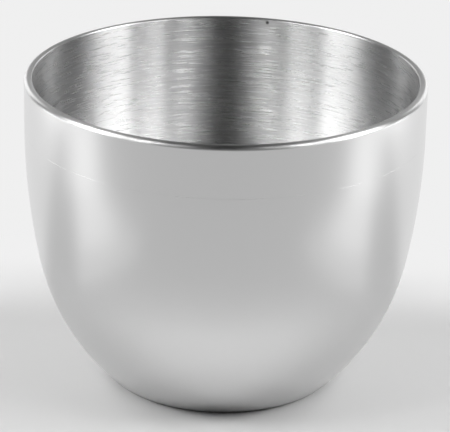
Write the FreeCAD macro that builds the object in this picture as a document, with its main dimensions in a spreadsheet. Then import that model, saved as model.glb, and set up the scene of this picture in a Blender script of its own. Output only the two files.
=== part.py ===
import FreeCAD, Part
import math
import os

import Sketcher

# A round-bottomed metal tumbler cup, made from one disc of sheet.
#
# Frame: millimetres, +Z up. The origin is at the middle of the flat base, on the surface that the cup
# stands on, and +Z is the axis of the cup. Everything is turned about that axis, so the whole form is in
# one section through the wall: a flat base, a bowl that sweeps up from it, a shoulder that eases the bowl
# into the upright, and a plain cylindrical band below the lip. The sheet keeps one gauge from lip to base.

# Driving sizes, in millimetres, and one angle in degrees.
SIZES = {
    "rim_dia": 82.0,  # outside, over the band
    "height": 64.6,  # base to lip
    "gauge": 1.7,  # thickness of the sheet, everywhere
    "band": 10.6,  # the upright part, measured down from the lip
    "shoulder_turn": 11.1,  # how far the shoulder leans in by where it meets the bowl
    "bowl_height": 26.7,  # base to where the shoulder meets the bowl
    "base_dia": 45.0,  # the flat that the cup stands on
    "floor_bend": 0.8,  # inside radius where the bowl turns into the floor
    "lip_round": 0.8,  # outside edge of the lip
    "lip_ease": 0.3,  # inside edge of the lip
}

# Which end of a sketch element a constraint holds.
START, END, CENTRE = 1, 2, 3

# The sketch's own origin, as a constraint names it.
ORIGIN = (-1, START)


def make_sheet(doc):
    """Adds the spreadsheet that holds the driving sizes, each under its own alias.

    Args:
        doc: The document.

    Returns:
        The spreadsheet.
    """
    sheet = doc.addObject("Spreadsheet::Sheet", "Sizes")
    for row, (alias, value) in enumerate(SIZES.items(), start=1):
        sheet.set(f"A{row}", alias)
        sheet.set(f"B{row}", str(value))
        sheet.setAlias(f"B{row}", alias)
    doc.recompute()
    return sheet


def origin_feature(body, role):
    """Finds one of a body's own origin planes or axes.

    Args:
        body: The body.
        role: The plane's or the axis's role, such as XZ_Plane.

    Returns:
        The origin feature with that role.
    """
    return next(f for f in body.Origin.OriginFeatures if f.Role == role)


def wall_elements(sheet):
    """Draws the section of the wall, each arc tangent to the next, for the sketch to start from.

    A tilt is how far the wall leans in from upright, in radians. The inside line keeps the centres of
    the outside one, so the sheet has one gauge all the way.

    Args:
        sheet: The spreadsheet of driving sizes.

    Returns:
        A name and geometry for each element, in order round the section.
    """

    def point(across, up):
        """Makes a point of the section."""
        return FreeCAD.Vector(across, up)

    def outward(tilt):
        """Makes the unit vector that points squarely out of a wall with this tilt."""
        return FreeCAD.Vector(math.cos(tilt), -math.sin(tilt))

    def arc(centre, radius, upper, lower):
        """Makes an arc from the tilt at its lower end to the tilt at its upper end."""
        circle = Part.Circle(centre, FreeCAD.Vector(0, 0, 1), radius)
        return Part.ArcOfCircle(circle, -lower, -upper)

    gauge, height = sheet.gauge, sheet.height
    outer, inner = sheet.rim_dia / 2, sheet.rim_dia / 2 - gauge
    base = sheet.base_dia / 2
    band_end = height - sheet.band
    turn = math.radians(sheet.shoulder_turn)

    # The shoulder is tangent to the band and leans in by its turn.
    shoulder = (band_end - sheet.bowl_height) / math.sin(turn)
    shoulder_centre = point(outer - shoulder, band_end)
    meet = shoulder_centre + outward(turn) * shoulder

    # The bend is tangent to the base.
    bend = sheet.floor_bend + gauge
    bend_centre = point(base, bend)

    # The bowl is tangent to the shoulder at one end and to the bend at the other.
    reach = meet - bend_centre
    bowl = (reach.dot(reach) - bend**2) / (2 * (reach.dot(outward(turn)) - bend))
    bowl_centre = meet - outward(turn) * bowl
    lean = math.atan2(bowl_centre.y - bend, base - bowl_centre.x)

    line = Part.LineSegment
    flat = math.pi / 2
    return {
        "base": line(point(0, 0), point(base, 0)),
        "bend": arc(bend_centre, bend, lean, flat),
        "bowl": arc(bowl_centre, bowl, turn, lean),
        "shoulder": arc(shoulder_centre, shoulder, 0, turn),
        "band": line(point(outer, band_end), point(outer, height)),
        "lip": line(point(outer, height), point(inner, height)),
        "inner_band": line(point(inner, height), point(inner, band_end)),
        "inner_shoulder": arc(shoulder_centre, shoulder - gauge, 0, turn),
        "inner_bowl": arc(bowl_centre, bowl - gauge, turn, lean),
        "inner_bend": arc(bend_centre, bend - gauge, lean, flat),
        "floor": line(point(base, gauge), point(0, gauge)),
        "axis": line(point(0, gauge), point(0, 0)),
    }


def draw_section(body, sheet):
    """Draws the section of the wall on the body's XZ plane and binds it to the sheet.

    Args:
        body: The body that gets the sketch.
        sheet: The spreadsheet of driving sizes.

    Returns:
        The sketch.
    """
    sketch = body.newObject("Sketcher::SketchObject", "wall_section")
    sketch.AttachmentSupport = [(origin_feature(body, "XZ_Plane"), "")]
    sketch.MapMode = "FlatFace"
    elements = wall_elements(sheet)
    index = {name: sketch.addGeometry(shape, False) for name, shape in elements.items()}

    def hold(kind, first, second=None):
        """Adds a constraint without a size, on one element or on two (name, end) pairs."""
        if second is None:
            sketch.addConstraint(Sketcher.Constraint(kind, index[first]))
        else:
            (one, its_end), (other, other_end) = first, second
            sketch.addConstraint(Sketcher.Constraint(kind, index[one], its_end, index[other], other_end))

    def measure(name, formula, kind, *where):
        """Adds a constraint whose size comes from the sheet. Its last argument is the size to start from."""
        number = sketch.addConstraint(Sketcher.Constraint(kind, *where))
        sketch.renameConstraint(number, name)
        sketch.setExpression(f"Constraints.{name}", formula)

    # Smooth joints, outside and inside, each of which also joins the two ends.
    hold("Tangent", ("base", END), ("bend", START))
    hold("Tangent", ("bend", END), ("bowl", START))
    hold("Tangent", ("bowl", END), ("shoulder", START))
    hold("Tangent", ("shoulder", END), ("band", START))
    hold("Tangent", ("inner_band", END), ("inner_shoulder", END))
    hold("Tangent", ("inner_shoulder", START), ("inner_bowl", END))
    hold("Tangent", ("inner_bowl", START), ("inner_bend", END))
    hold("Tangent", ("inner_bend", START), ("floor", START))

    # Plain corners.
    hold("Coincident", ("band", END), ("lip", START))
    hold("Coincident", ("lip", END), ("inner_band", START))
    hold("Coincident", ("floor", END), ("axis", START))
    hold("Coincident", ("axis", END), ("base", START))
    sketch.addConstraint(Sketcher.Constraint("Coincident", index["base"], START, *ORIGIN))

    # The inside runs parallel to the outside, so each pair of arcs shares its centre.
    for curve in ("shoulder", "bowl", "bend"):
        hold("Coincident", (f"inner_{curve}", CENTRE), (curve, CENTRE))

    for level in ("base", "lip", "floor"):
        hold("Horizontal", level)
    for upright in ("band", "inner_band", "axis"):
        hold("Vertical", upright)

    base, lip, band, shoulder = (index[name] for name in ("base", "lip", "band", "shoulder"))
    rim_radius, base_radius = sheet.rim_dia / 2, sheet.base_dia / 2
    turn = math.radians(sheet.shoulder_turn)
    measure("rim_radius", "Sizes.rim_dia / 2", "DistanceX", *ORIGIN, band, END, rim_radius)
    measure("height", "Sizes.height", "DistanceY", *ORIGIN, band, END, sheet.height)
    measure("gauge", "Sizes.gauge", "DistanceX", lip, END, lip, START, sheet.gauge)
    measure("band", "Sizes.band", "DistanceY", band, START, band, END, sheet.band)
    measure("bowl_height", "Sizes.bowl_height", "DistanceY", *ORIGIN, shoulder, START, sheet.bowl_height)
    measure("base_radius", "Sizes.base_dia / 2", "DistanceX", *ORIGIN, base, END, base_radius)
    measure("floor_bend", "Sizes.floor_bend", "Radius", index["inner_bend"], sheet.floor_bend)
    measure("shoulder_turn", "Sizes.shoulder_turn * 1 deg", "Angle", shoulder, turn)
    return sketch


def ring_at(shape, height, radius):
    """Finds the circular edge of a turned shape at a height and a radius.

    Args:
        shape: The shape.
        height: Its height above the base.
        radius: Its radius.

    Returns:
        The edge's name.
    """
    near = 1e-4
    return next(
        f"Edge{number}"
        for number, edge in enumerate(shape.Edges, start=1)
        if isinstance(edge.Curve, Part.Circle)
        and abs(edge.Curve.Radius - radius) < near
        and edge.Curve.Center.distanceToPoint(FreeCAD.Vector(0, 0, height)) < near
    )


def round_lip(body, name, formula, height, radius):
    """Rounds one ring-shaped edge of the lip.

    Args:
        body: The body, whose tip has the edge.
        name: Name of the fillet.
        formula: Its radius, as an expression on the sheet.
        height: The edge's height above the base.
        radius: The edge's radius.
    """
    before = body.Tip
    fillet = body.newObject("PartDesign::Fillet", name)
    fillet.Base = (before, [ring_at(before.Shape, height, radius)])
    fillet.setExpression("Radius", formula)
    body.Tip = fillet
    body.Document.recompute()


def make_cup(doc, sheet):
    """Builds the cup: the section turned once about the axis, then both edges of the lip rounded.

    Args:
        doc: The document.
        sheet: The spreadsheet of driving sizes.

    Returns:
        The body of the cup.
    """
    body = doc.addObject("PartDesign::Body", "cup")
    body.Label = "cup"
    sketch = draw_section(body, sheet)
    doc.recompute()

    shell = body.newObject("PartDesign::Revolution", "shell")
    shell.Profile = sketch
    shell.ReferenceAxis = (sketch, ["V_Axis"])
    shell.Angle = 360
    body.Tip = shell
    doc.recompute()

    rim_radius = sheet.rim_dia / 2
    round_lip(body, "lip_outside", "Sizes.lip_round", sheet.height, rim_radius)
    round_lip(body, "lip_inside", "Sizes.lip_ease", sheet.height, rim_radius - sheet.gauge)
    body.Placement = FreeCAD.Placement()
    return body


def check(doc, bodies):
    """Stops the build if any object failed or any body isn't one sound solid.

    Args:
        doc: The document.
        bodies: The bodies to be written.
    """
    for item in doc.Objects:
        if {"Invalid", "Error"} & set(item.State):
            raise RuntimeError(f"{item.Name} failed: {item.State}")
    for sketch in doc.findObjects("Sketcher::SketchObject"):
        if not sketch.FullyConstrained:
            raise RuntimeError(f"{sketch.Name} isn't fully constrained")
    for body in bodies:
        shape = body.Shape
        if shape.isNull() or not shape.isValid() or len(shape.Solids) != 1:
            raise RuntimeError(f"{body.Label} isn't one valid solid")


def main():
    """Builds the document, checks it and writes one STEP file for each body."""
    doc = FreeCAD.newDocument("tumbler_cup")
    sheet = make_sheet(doc)
    bodies = [make_cup(doc, sheet)]
    doc.recompute()
    check(doc, bodies)
    os.makedirs("parts", exist_ok=True)
    for body in bodies:
        body.Shape.exportStep(f"parts/{body.Label}.step")
        print(f"{body.Label}: {body.Shape.Volume / 1000:.1f} cm3 of metal")


main()
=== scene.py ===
import logging
import math
from dataclasses import dataclass, field
from enum import Enum

import bpy
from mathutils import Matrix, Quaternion, Vector


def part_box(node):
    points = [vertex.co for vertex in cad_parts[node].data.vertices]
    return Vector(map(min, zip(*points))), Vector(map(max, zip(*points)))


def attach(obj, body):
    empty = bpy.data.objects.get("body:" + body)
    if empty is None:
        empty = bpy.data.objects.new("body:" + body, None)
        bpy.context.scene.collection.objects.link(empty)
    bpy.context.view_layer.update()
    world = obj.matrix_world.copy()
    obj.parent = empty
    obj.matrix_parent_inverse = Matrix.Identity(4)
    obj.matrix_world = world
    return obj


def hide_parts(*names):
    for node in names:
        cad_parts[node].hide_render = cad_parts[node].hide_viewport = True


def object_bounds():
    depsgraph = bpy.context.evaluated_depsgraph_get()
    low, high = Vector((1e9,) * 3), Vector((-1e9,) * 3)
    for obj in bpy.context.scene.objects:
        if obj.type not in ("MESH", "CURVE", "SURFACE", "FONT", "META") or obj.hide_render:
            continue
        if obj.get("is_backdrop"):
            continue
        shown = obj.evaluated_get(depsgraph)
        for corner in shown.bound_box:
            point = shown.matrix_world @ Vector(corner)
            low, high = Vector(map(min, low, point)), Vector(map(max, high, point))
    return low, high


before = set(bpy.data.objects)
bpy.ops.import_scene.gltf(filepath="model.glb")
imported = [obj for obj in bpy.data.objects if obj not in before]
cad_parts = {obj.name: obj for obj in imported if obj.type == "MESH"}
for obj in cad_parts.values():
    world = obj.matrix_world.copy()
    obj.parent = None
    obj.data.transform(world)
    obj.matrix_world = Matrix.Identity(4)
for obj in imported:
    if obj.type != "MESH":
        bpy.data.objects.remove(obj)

log = logging.getLogger("tumbler")

MM = 0.001

# Square metres added under a root, so that nothing divides by zero on the axis.
AXIS_GUARD = 1e-9


class Ground(Enum):
    """What a point of the wall's line belongs to, for its finish."""

    OUTSIDE = 0
    LIP = 1
    INSIDE = 2


# ---------------------------------------------------------------- shader maths


class Value:
    """One shader value, a socket or a number, which Python's own operators can reckon with."""

    def __init__(self, graph: "Graph", socket: bpy.types.NodeSocket | float) -> None:
        """Wraps a socket or a number.

        Args:
            graph: The graph that its nodes go into.
            socket: The output socket, or a plain number.
        """
        self.graph = graph
        self.socket = socket

    def _maths(self, operation: str, *values: "Value | float") -> "Value":
        """Adds one Math node.

        Args:
            operation: The node's operation.
            values: What it works on, in order.

        Returns:
            Its result.
        """
        return self.graph.node("ShaderNodeMath", {"operation": operation}, *values)

    def __add__(self, other: "Value | float") -> "Value":
        """Adds."""
        return self._maths("ADD", self, other)

    def __radd__(self, other: float) -> "Value":
        """Adds to a number."""
        return self._maths("ADD", other, self)

    def __sub__(self, other: "Value | float") -> "Value":
        """Takes away."""
        return self._maths("SUBTRACT", self, other)

    def __rsub__(self, other: float) -> "Value":
        """Takes from a number."""
        return self._maths("SUBTRACT", other, self)

    def __mul__(self, other: "Value | float") -> "Value":
        """Multiplies."""
        return self._maths("MULTIPLY", self, other)

    def __rmul__(self, other: float) -> "Value":
        """Multiplies a number."""
        return self._maths("MULTIPLY", other, self)

    def __truediv__(self, other: "Value | float") -> "Value":
        """Divides."""
        return self._maths("DIVIDE", self, other)

    def __rtruediv__(self, other: float) -> "Value":
        """Divides a number."""
        return self._maths("DIVIDE", other, self)

    def __pow__(self, other: "Value | float") -> "Value":
        """Raises to a power."""
        return self._maths("POWER", self, other)

    def clamped(self) -> "Value":
        """Keeps the value between 0 and 1."""
        return self.graph.node("ShaderNodeClamp", {}, self)

    def step(self, low: float, high: float) -> "Value":
        """Rises smoothly from 0 where the value is low to 1 where it is high.

        Args:
            low: The value at which it starts to rise.
            high: The value at which it is 1.

        Returns:
            The smooth step.
        """
        settings = {"interpolation_type": "SMOOTHSTEP"}
        return self.graph.node("ShaderNodeMapRange", settings, self, low, high, 0.0, 1.0)


class Graph:
    """The node graph of one material or world."""

    def __init__(self, owner: bpy.types.Material | bpy.types.World) -> None:
        """Empties the owner's node tree.

        Args:
            owner: The material or world.
        """
        owner.use_nodes = True
        self.tree = owner.node_tree
        self.tree.nodes.clear()

    def node(
        self, kind: str, settings: dict, *values: object, out: int | str = 0, **named: object
    ) -> Value:
        """Adds any node.

        Args:
            kind: The node's type.
            settings: Its properties, set before its sockets.
            values: What its first sockets hold, in order. None leaves a socket alone.
            out: The output that is wanted.
            named: What sockets hold by name, with underscores for spaces.

        Returns:
            The wanted output.
        """
        made = self.tree.nodes.new(kind)
        for key, setting in settings.items():
            setattr(made, key, setting)
        for place, value in enumerate(values):
            self._feed(made.inputs[place], value)
        for name, value in named.items():
            self._feed(made.inputs[name.replace("_", " ")], value)
        return Value(self, made.outputs[out] if made.outputs else made)

    def _feed(self, socket: bpy.types.NodeSocket, value: object) -> None:
        """Links or sets one input socket.

        Args:
            socket: The input.
            value: A Value to link, a plain setting, or None to leave it.
        """
        if isinstance(value, Value):
            if isinstance(value.socket, bpy.types.NodeSocket):
                self.tree.links.new(value.socket, socket)
            else:
                socket.default_value = value.socket
        elif value is not None:
            socket.default_value = value

    def mix(self, share: Value | float, first: object, second: object) -> Value:
        """Mixes two colours.

        Args:
            share: How much of the second, from 0 to 1.
            first: The first colour.
            second: The second colour.

        Returns:
            The mixed colour.
        """
        settings = {"data_type": "RGBA"}
        other_types = (None,) * 5
        return self.node("ShaderNodeMix", settings, share, *other_types, first, second, out=2)

    def output(self, kind: str, surface: Value) -> None:
        """Adds the output node.

        Args:
            kind: Its type.
            surface: The shader that it takes.
        """
        self.node(kind, {}, surface)


def grey(level: float) -> tuple[float, float, float, float]:
    """Gives a grey as a colour with full alpha."""
    return (level, level, level, 1.0)


# ---------------------------------------------------------------- the cup


@dataclass(frozen=True)
class WallSection:
    """The line round the wall's section, in metres: across from the axis, and up from the base.

    A tilt is how far a wall leans in from upright, in radians. The inside keeps the outside's
    centres.
    """

    rim_radius: float
    height: float
    gauge: float = 1.7 * MM
    band: float = 10.6 * MM
    shoulder_turn: float = math.radians(11.1)
    bowl_height: float = 26.7 * MM
    base_radius: float = 22.5 * MM
    floor_bend: float = 0.8 * MM
    lip_round: float = 0.8 * MM
    lip_ease: float = 0.3 * MM
    longest_step: float = 1.1 * MM
    straight_step: float = 3.3 * MM
    widest_turn: float = math.radians(7.5)
    fewest_parts: int = 4
    margin: float = 0.06 * MM
    largest_margin: float = 0.1

    @staticmethod
    def outward(tilt: float) -> Vector:
        """Gives the unit vector that points squarely out of a wall with this tilt."""
        return Vector((math.cos(tilt), -math.sin(tilt)))

    def arc(self, centre: Vector, radius: float, start: float, end: float) -> list[Vector]:
        """Divides an arc.

        Args:
            centre: Its centre.
            radius: Its radius.
            start: Tilt where it starts.
            end: Tilt where it ends.

        Returns:
            Its points after the first.
        """
        turn = end - start
        by_turn, by_step = abs(turn) / self.widest_turn, abs(turn) * radius / self.longest_step
        parts = math.ceil(max(by_turn, by_step, self.fewest_parts))
        tilts = [start + turn * n / parts for n in range(1, parts + 1)]
        return [centre + self.outward(tilt) * radius for tilt in tilts]

    def run(self, start: Vector, end: Vector) -> list[Vector]:
        """Divides a straight run, with a short first and last part so that its shading stays flat.

        Args:
            start: Where it starts.
            end: Where it ends.

        Returns:
            Its points after the first.
        """
        reach = end - start
        margin = min(self.largest_margin, self.margin / reach.length)
        parts = math.ceil(reach.length / self.straight_step)
        shares = [margin + (1 - 2 * margin) * n / parts for n in range(parts + 1)]
        return [start + reach * share for share in [*shares, 1.0]]

    def stretches(self) -> list[tuple[Ground, list[Vector]]]:
        """Follows the section from the middle of the base to the middle of the floor inside.

        Returns:
            The line's stretches, up the outside, over the lip and down inside, each with the ground
            that it belongs to.
        """
        flat, top = math.pi / 2, -math.pi / 2
        outer, inner = self.rim_radius, self.rim_radius - self.gauge
        band_end = self.height - self.band
        turn = self.shoulder_turn

        # Each arc is tangent to its neighbours, which gives the shoulder's and the bowl's radius.
        shoulder = (band_end - self.bowl_height) / math.sin(turn)
        shoulder_centre = Vector((outer - shoulder, band_end))
        meet = shoulder_centre + self.outward(turn) * shoulder
        bend = self.floor_bend + self.gauge
        bend_centre = Vector((self.base_radius, bend))
        reach = meet - bend_centre
        bowl = (reach.dot(reach) - bend**2) / (2 * (reach.dot(self.outward(turn)) - bend))
        bowl_centre = meet - self.outward(turn) * bowl
        lean = math.atan2(bowl_centre.y - bend, self.base_radius - bowl_centre.x)

        lip_out = Vector((outer - self.lip_round, self.height - self.lip_round))
        lip_in = Vector((inner + self.lip_ease, self.height - self.lip_ease))
        land = Vector((lip_out.x, self.height)), Vector((lip_in.x, self.height))
        floor = Vector((self.base_radius, self.gauge)), Vector((0.0, self.gauge))
        up = Vector((outer, band_end)), Vector((outer, lip_out.y))
        down = Vector((inner, lip_in.y)), Vector((inner, band_end))
        return [
            (Ground.OUTSIDE, self.run(Vector((0.0, 0.0)), Vector((self.base_radius, 0.0)))),
            (Ground.OUTSIDE, self.arc(bend_centre, bend, flat, lean)),
            (Ground.OUTSIDE, self.arc(bowl_centre, bowl, lean, turn)),
            (Ground.OUTSIDE, self.arc(shoulder_centre, shoulder, turn, 0.0)),
            (Ground.OUTSIDE, self.run(*up)),
            (Ground.LIP, self.arc(lip_out, self.lip_round, 0.0, top)),
            (Ground.LIP, self.run(*land)),
            (Ground.LIP, self.arc(lip_in, self.lip_ease, top, -math.pi)),
            (Ground.INSIDE, self.run(*down)),
            (Ground.INSIDE, self.arc(shoulder_centre, shoulder - self.gauge, 0.0, turn)),
            (Ground.INSIDE, self.arc(bowl_centre, bowl - self.gauge, turn, lean)),
            (Ground.INSIDE, self.arc(bend_centre, self.floor_bend, lean, flat)),
            (Ground.INSIDE, self.run(*floor)),
        ]


@dataclass
class Cup:
    """The cup, turned in one piece about its axis."""

    section: WallSection
    around: int = 256
    weld: float = 0.001 * MM

    def build(self) -> bpy.types.Object:
        """Draws the section by extruding one corner along it, and spins it about the axis.

        Returns:
            The cup's mesh object.
        """
        bpy.ops.object.select_all(action="DESELECT")
        bpy.ops.mesh.primitive_plane_add(size=self.section.gauge, location=(0, 0, 0))
        piece = bpy.context.active_object
        piece.name = piece.data.name = "cup_wall"
        bpy.ops.object.mode_set(mode="EDIT")
        bpy.ops.mesh.select_all(action="SELECT")
        bpy.ops.mesh.merge(type="CENTER")
        here = Vector((0.0, 0.0))
        for _, stretch in self.section.stretches():
            for there in stretch:
                step = there - here
                move = {"value": (step.x, 0, step.y)}
                bpy.ops.mesh.extrude_vertices_move(TRANSFORM_OT_translate=move)
                here = there
        bpy.ops.mesh.select_all(action="SELECT")
        bpy.ops.mesh.spin(steps=self.around, angle=math.tau, center=(0, 0, 0), axis=(0, 0, 1))
        bpy.ops.mesh.select_all(action="SELECT")
        bpy.ops.mesh.remove_doubles(threshold=self.weld)
        bpy.ops.mesh.normals_make_consistent(inside=False)
        bpy.ops.object.mode_set(mode="OBJECT")
        bpy.ops.object.shade_smooth()
        return piece

    def dress(self, piece: bpy.types.Object, finishes: dict[Ground, bpy.types.Material]) -> None:
        """Gives each ring of faces the finish of its ground.

        Args:
            piece: The cup's mesh object.
            finishes: The finish of each ground.
        """
        for ground in Ground:
            piece.data.materials.append(finishes[ground])
        section = self.section
        lip_start = section.height - section.lip_round
        lip_end = section.height - section.lip_ease
        middle = section.rim_radius - section.gauge / 2
        for face in piece.data.polygons:
            across = math.hypot(face.center.x, face.center.y)
            facing_axis = face.normal.x * face.center.x + face.normal.y * face.center.y < 0
            inward = facing_axis or (face.normal.z > 0 and face.center.z < lip_start)
            lip = face.center.z > (lip_end if across < middle else lip_start)
            ground = Ground.LIP if lip else Ground.INSIDE if inward else Ground.OUTSIDE
            face.material_index = ground.value


@dataclass(frozen=True)
class Mark:
    """A small spot on the metal, lighter or darker than the rest, which fades out at its reach."""

    place: tuple[float, float, float]
    reach: float
    colour: float


@dataclass(frozen=True)
class Metal:
    """A bare metal finish.

    A rotation of a quarter turn makes highlights spread up and down. Turned lines run round the
    cup and change its tone and its roughness a little. Their gap is in metres, and their spread
    sets how many times they break on the way round.
    """

    name: str
    colour: float = 0.74
    roughness: float = 0.35
    anisotropy: float = 0.0
    rotation: float = 0.25
    line_contrast: float = 0.0
    line_roughness: float = 0.0
    line_gap: float = 0.3 * MM
    line_spread: float = 6.5
    line_detail: float = 2.0
    line_break: float = 0.6
    line_tones: tuple[float, float] = (0.3, 0.7)
    marks: tuple[Mark, ...] = ()

    def material(self) -> bpy.types.Material:
        """Makes the finish.

        Returns:
            Its material.
        """
        made = bpy.data.materials.new(self.name)
        graph = Graph(made)
        colour: object = grey(self.colour)
        roughness: object = self.roughness
        place = graph.node("ShaderNodeTexCoord", {}, out="Object")
        if self.line_contrast:
            lines = self.lines(graph, place)
            dull = self.colour * (1 - self.line_contrast)
            bright = self.colour * (1 + self.line_contrast)
            colour = graph.mix(lines, grey(dull), grey(bright))
            roughness = lines * (-2 * self.line_roughness) + (self.roughness + self.line_roughness)
        for mark in self.marks:
            settings = {"operation": "DISTANCE"}
            away = graph.node("ShaderNodeVectorMath", settings, place, mark.place, out="Value")
            inside = 1.0 - away.step(mark.reach / 2, mark.reach)
            colour = graph.mix(inside, colour, grey(mark.colour))
        shader = graph.node(
            "ShaderNodeBsdfPrincipled",
            {},
            Base_Color=colour,
            Metallic=1.0,
            Roughness=roughness,
            Anisotropic=self.anisotropy,
            Anisotropic_Rotation=self.rotation,
        )
        graph.output("ShaderNodeOutputMaterial", shader)
        return made

    def lines(self, graph: Graph, place: Value) -> Value:
        """Draws fine broken lines that run round the axis.

        Args:
            graph: The material's graph.
            place: The point on the cup.

        Returns:
            A pattern between 0 and 1.
        """
        x, y, z = (graph.node("ShaderNodeSeparateXYZ", {}, place, out=axis) for axis in "XYZ")
        across = (x * x + y * y + AXIS_GUARD) ** 0.5
        turn = self.line_spread / across
        down_wall = (z + across) * (1 / self.line_gap)
        along = graph.node("ShaderNodeCombineXYZ", {}, x * turn, y * turn, down_wall)
        noise = graph.node(
            "ShaderNodeTexNoise",
            {},
            along,
            Scale=1.0,
            Detail=self.line_detail,
            Roughness=self.line_break,
        )
        return noise.step(*self.line_tones)


def make_finishes() -> dict[Ground, bpy.types.Material]:
    """Makes the cup's finishes, with a small dark spot in its back lip and a painted highlight
    inside.

    Returns:
        The finish of each ground.
    """
    # A small dark spot painted into the colour, just under the back lip's inner edge.
    dark_spot = Mark((8.8 * MM, 38.6 * MM, 63.9 * MM), reach=0.6 * MM, colour=0.1)
    # A small white spot on the inside wall: a painted highlight, a glint put into the colour.
    painted_glint = Mark((-32.0 * MM, 22.8 * MM, 54.0 * MM), reach=0.5 * MM, colour=1.0)
    finishes = {
        Ground.OUTSIDE: Metal("satin_outside", roughness=0.28),
        Ground.LIP: Metal(
            "turned_lip", colour=0.64, roughness=0.38, anisotropy=0.8, marks=(dark_spot,)
        ),
        Ground.INSIDE: Metal(
            "turned_inside",
            roughness=0.3,
            anisotropy=1.0,
            line_contrast=0.11,
            line_roughness=0.05,
            marks=(dark_spot, painted_glint),
        ),
    }
    return {ground: finish.material() for ground, finish in finishes.items()}


# ---------------------------------------------------------------- the studio


@dataclass(frozen=True)
class Floor:
    """A plain pale floor, paler behind the cup, that looks evenly lit beyond the cup's shadow."""

    reach: float = 6.0
    near_colour: float = 0.63
    far_colour: float = 0.74
    near_level: float = 0.62
    far_level: float = 0.87
    pales_from: float = 18 * MM
    pales_to: float = 40 * MM
    shadow_ends: float = 50 * MM
    even_from: float = 85 * MM

    def build(self) -> bpy.types.Object:
        """Lays the floor.

        Returns:
            Its mesh object.
        """
        bpy.ops.object.select_all(action="DESELECT")
        bpy.ops.mesh.primitive_grid_add(x_subdivisions=2, y_subdivisions=2, size=2 * self.reach)
        piece = bpy.context.active_object
        piece.name = piece.data.name = "studio_floor"
        piece.data.materials.append(self.material())
        return piece

    def material(self) -> bpy.types.Material:
        """Makes the floor's paper: lit near the cup, and of even brightness further out.

        Returns:
            Its material.
        """
        made = bpy.data.materials.new("floor_paper")
        graph = Graph(made)
        place = graph.node("ShaderNodeTexCoord", {}, out="Object")
        y = graph.node("ShaderNodeSeparateXYZ", {}, place, out="Y")
        distance = graph.node("ShaderNodeVectorMath", {"operation": "LENGTH"}, place, out="Value")
        back = y.step(self.pales_from, self.pales_to)
        paper = graph.mix(back, grey(self.near_colour), grey(self.far_colour))
        level = graph.mix(back, grey(self.near_level), grey(self.far_level))
        camera, glossy, through = (
            graph.node("ShaderNodeLightPath", {}, out=f"Is {kind} Ray")
            for kind in ("Camera", "Glossy", "Transmission")
        )
        seen = (camera + glossy + through).clamped()
        even = distance.step(self.shadow_ends, self.even_from) * seen
        lit = graph.node("ShaderNodeBsdfDiffuse", {}, paper)
        glow = graph.node("ShaderNodeEmission", {}, level, 1.0)
        both = graph.node("ShaderNodeMixShader", {}, even, lit, glow)
        graph.output("ShaderNodeOutputMaterial", both)
        return made


@dataclass(frozen=True)
class Camera:
    """Where the cup is seen from."""

    distance: float = 0.5
    elevation: float = math.radians(18.95)
    roll: float = math.radians(1.17)
    lens: float = 196.6
    aim: Vector = field(default_factory=lambda: Vector((0.00035, 0.0, 0.0339)))

    def place(self, rim: Vector) -> None:
        """Sets the camera up.

        Args:
            rim: The middle of the mouth, from which the distance and elevation are measured.
        """
        data = bpy.data.cameras.new("camera")
        data.lens = self.lens
        made = bpy.data.objects.new("camera", data)
        bpy.context.scene.collection.objects.link(made)
        back = Vector((0.0, -math.cos(self.elevation), math.sin(self.elevation)))
        made.location = rim + back * self.distance
        look = (self.aim - made.location).to_track_quat("-Z", "Y")
        made.rotation_mode = "QUATERNION"
        made.rotation_quaternion = look @ Quaternion((0.0, 0.0, 1.0), self.roll)
        bpy.context.scene.camera = made


HALF_TURN = 180


class Facing(Enum):
    """Which way a light faces."""

    AXIS = "axis"
    DOWN = "down"
    UP = "up"


@dataclass(frozen=True)
class Softbox:
    """An even rectangular light that the camera doesn't see.

    Its place is given in metres by the distance of its middle from the axis and by its height, and
    in degrees by its bearing round the axis from the front. A box on one side has a twin on the
    other. A box that faces down doesn't show in the metal.
    """

    name: str
    out: float
    bearing: float
    height: float
    width: float
    tall: float
    radiance: float
    facing: Facing = Facing.AXIS

    def place(self) -> None:
        """Sets up the light and its twin."""
        bearing = math.radians(self.bearing)
        sides = {"left": -1, "right": 1} if self.bearing % HALF_TURN else {"": 1}
        for side, sign in sides.items():
            data = bpy.data.lights.new(f"{self.name}_{side}".rstrip("_"), "AREA")
            data.shape = "RECTANGLE"
            data.size, data.size_y = self.width, self.tall
            data.energy = math.pi * self.width * self.tall * self.radiance
            made = bpy.data.objects.new(data.name, data)
            bpy.context.scene.collection.objects.link(made)
            across = Vector((math.sin(bearing) * sign, -math.cos(bearing), 0.0))
            made.location = across * self.out + Vector((0.0, 0.0, self.height))
            made.rotation_mode = "QUATERNION"
            if self.facing is Facing.AXIS:
                made.rotation_quaternion = (-across).to_track_quat("-Z", "Y")
            elif self.facing is Facing.UP:
                made.rotation_quaternion = Quaternion((1.0, 0.0, 0.0), math.pi)
            made.visible_camera = False
            made.visible_glossy = self.facing is not Facing.DOWN


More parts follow.
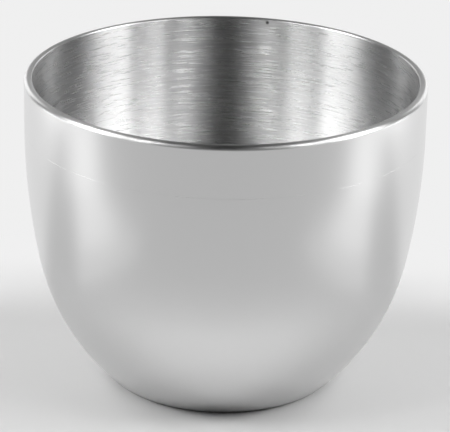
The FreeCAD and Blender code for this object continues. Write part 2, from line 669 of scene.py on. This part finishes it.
SOFTBOXES = (
    Softbox("side_box", out=0.406, bearing=80, height=0.29, width=0.2, tall=0.18, radiance=13.0),
    Softbox("high_box", out=0.405, bearing=98, height=0.55, width=0.28, tall=0.3, radiance=5.5),
    Softbox("front_box", out=0.457, bearing=53, height=0.55, width=0.06, tall=0.3, radiance=10.0),
    Softbox("front_card", out=0.4, bearing=44, height=0.6, width=0.3, tall=0.3, radiance=1.6),
    Softbox("side_card", out=0.14, bearing=94, height=0.05, width=0.06, tall=0.04, radiance=2.0),
    Softbox("strip", out=0.2, bearing=45, height=0.175, width=0.012, tall=0.15, radiance=6.0),
    Softbox("inner_strip", out=0.2, bearing=26, height=0.225, width=0.009, tall=0.15, radiance=2.0),
    Softbox("back_wall", 0.5, HALF_TURN, height=0.075, width=1.0, tall=0.15, radiance=1.1),
    Softbox("back_card", 0.5, HALF_TURN, height=0.25, width=0.5, tall=0.2, radiance=0.3),
    Softbox("back_corner", out=0.5, bearing=145, height=0.25, width=0.25, tall=0.25, radiance=1.6),
    Softbox("overhead", 0.0, 0, height=1.0, width=1.2, tall=0.6, radiance=0.5, facing=Facing.DOWN),
    Softbox("far_glow", 0.203, 80, 0.004, width=0.12, tall=0.07, radiance=0.35, facing=Facing.UP),
    Softbox("mid_glow", 0.157, 73, 0.003, width=0.13, tall=0.045, radiance=0.25, facing=Facing.UP),
    Softbox("near_glow", 0.149, 70, 0.002, width=0.15, tall=0.07, radiance=0.2, facing=Facing.UP),
)


def light_world() -> None:
    """Lights the studio with softboxes in a dark room."""
    world = bpy.data.worlds.new("studio")
    bpy.context.scene.world = world
    graph = Graph(world)
    dark = graph.node("ShaderNodeBackground", {}, grey(0.0), 1.0)
    graph.output("ShaderNodeOutputWorld", dark)
    for box in SOFTBOXES:
        box.place()


def main() -> None:
    """Builds the cup and the studio round it."""
    logging.basicConfig(level=logging.INFO, format="%(name)s: %(message)s")
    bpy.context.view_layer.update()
    low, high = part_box("cup")
    section = WallSection(rim_radius=(high.x - low.x) / 2, height=high.z - low.z)
    cup = Cup(section)
    piece = cup.build()
    cup.dress(piece, make_finishes())
    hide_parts("cup")
    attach(piece, "root")
    log.info("%s: %d faces", piece.name, len(piece.data.polygons))

    floor = Floor().build()
    floor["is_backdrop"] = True
    Camera().place(Vector((0.0, 0.0, section.height)))
    light_world()
    bpy.context.scene.view_settings.view_transform = "Standard"

    low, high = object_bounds()


if __name__ == "__main__":
    main()
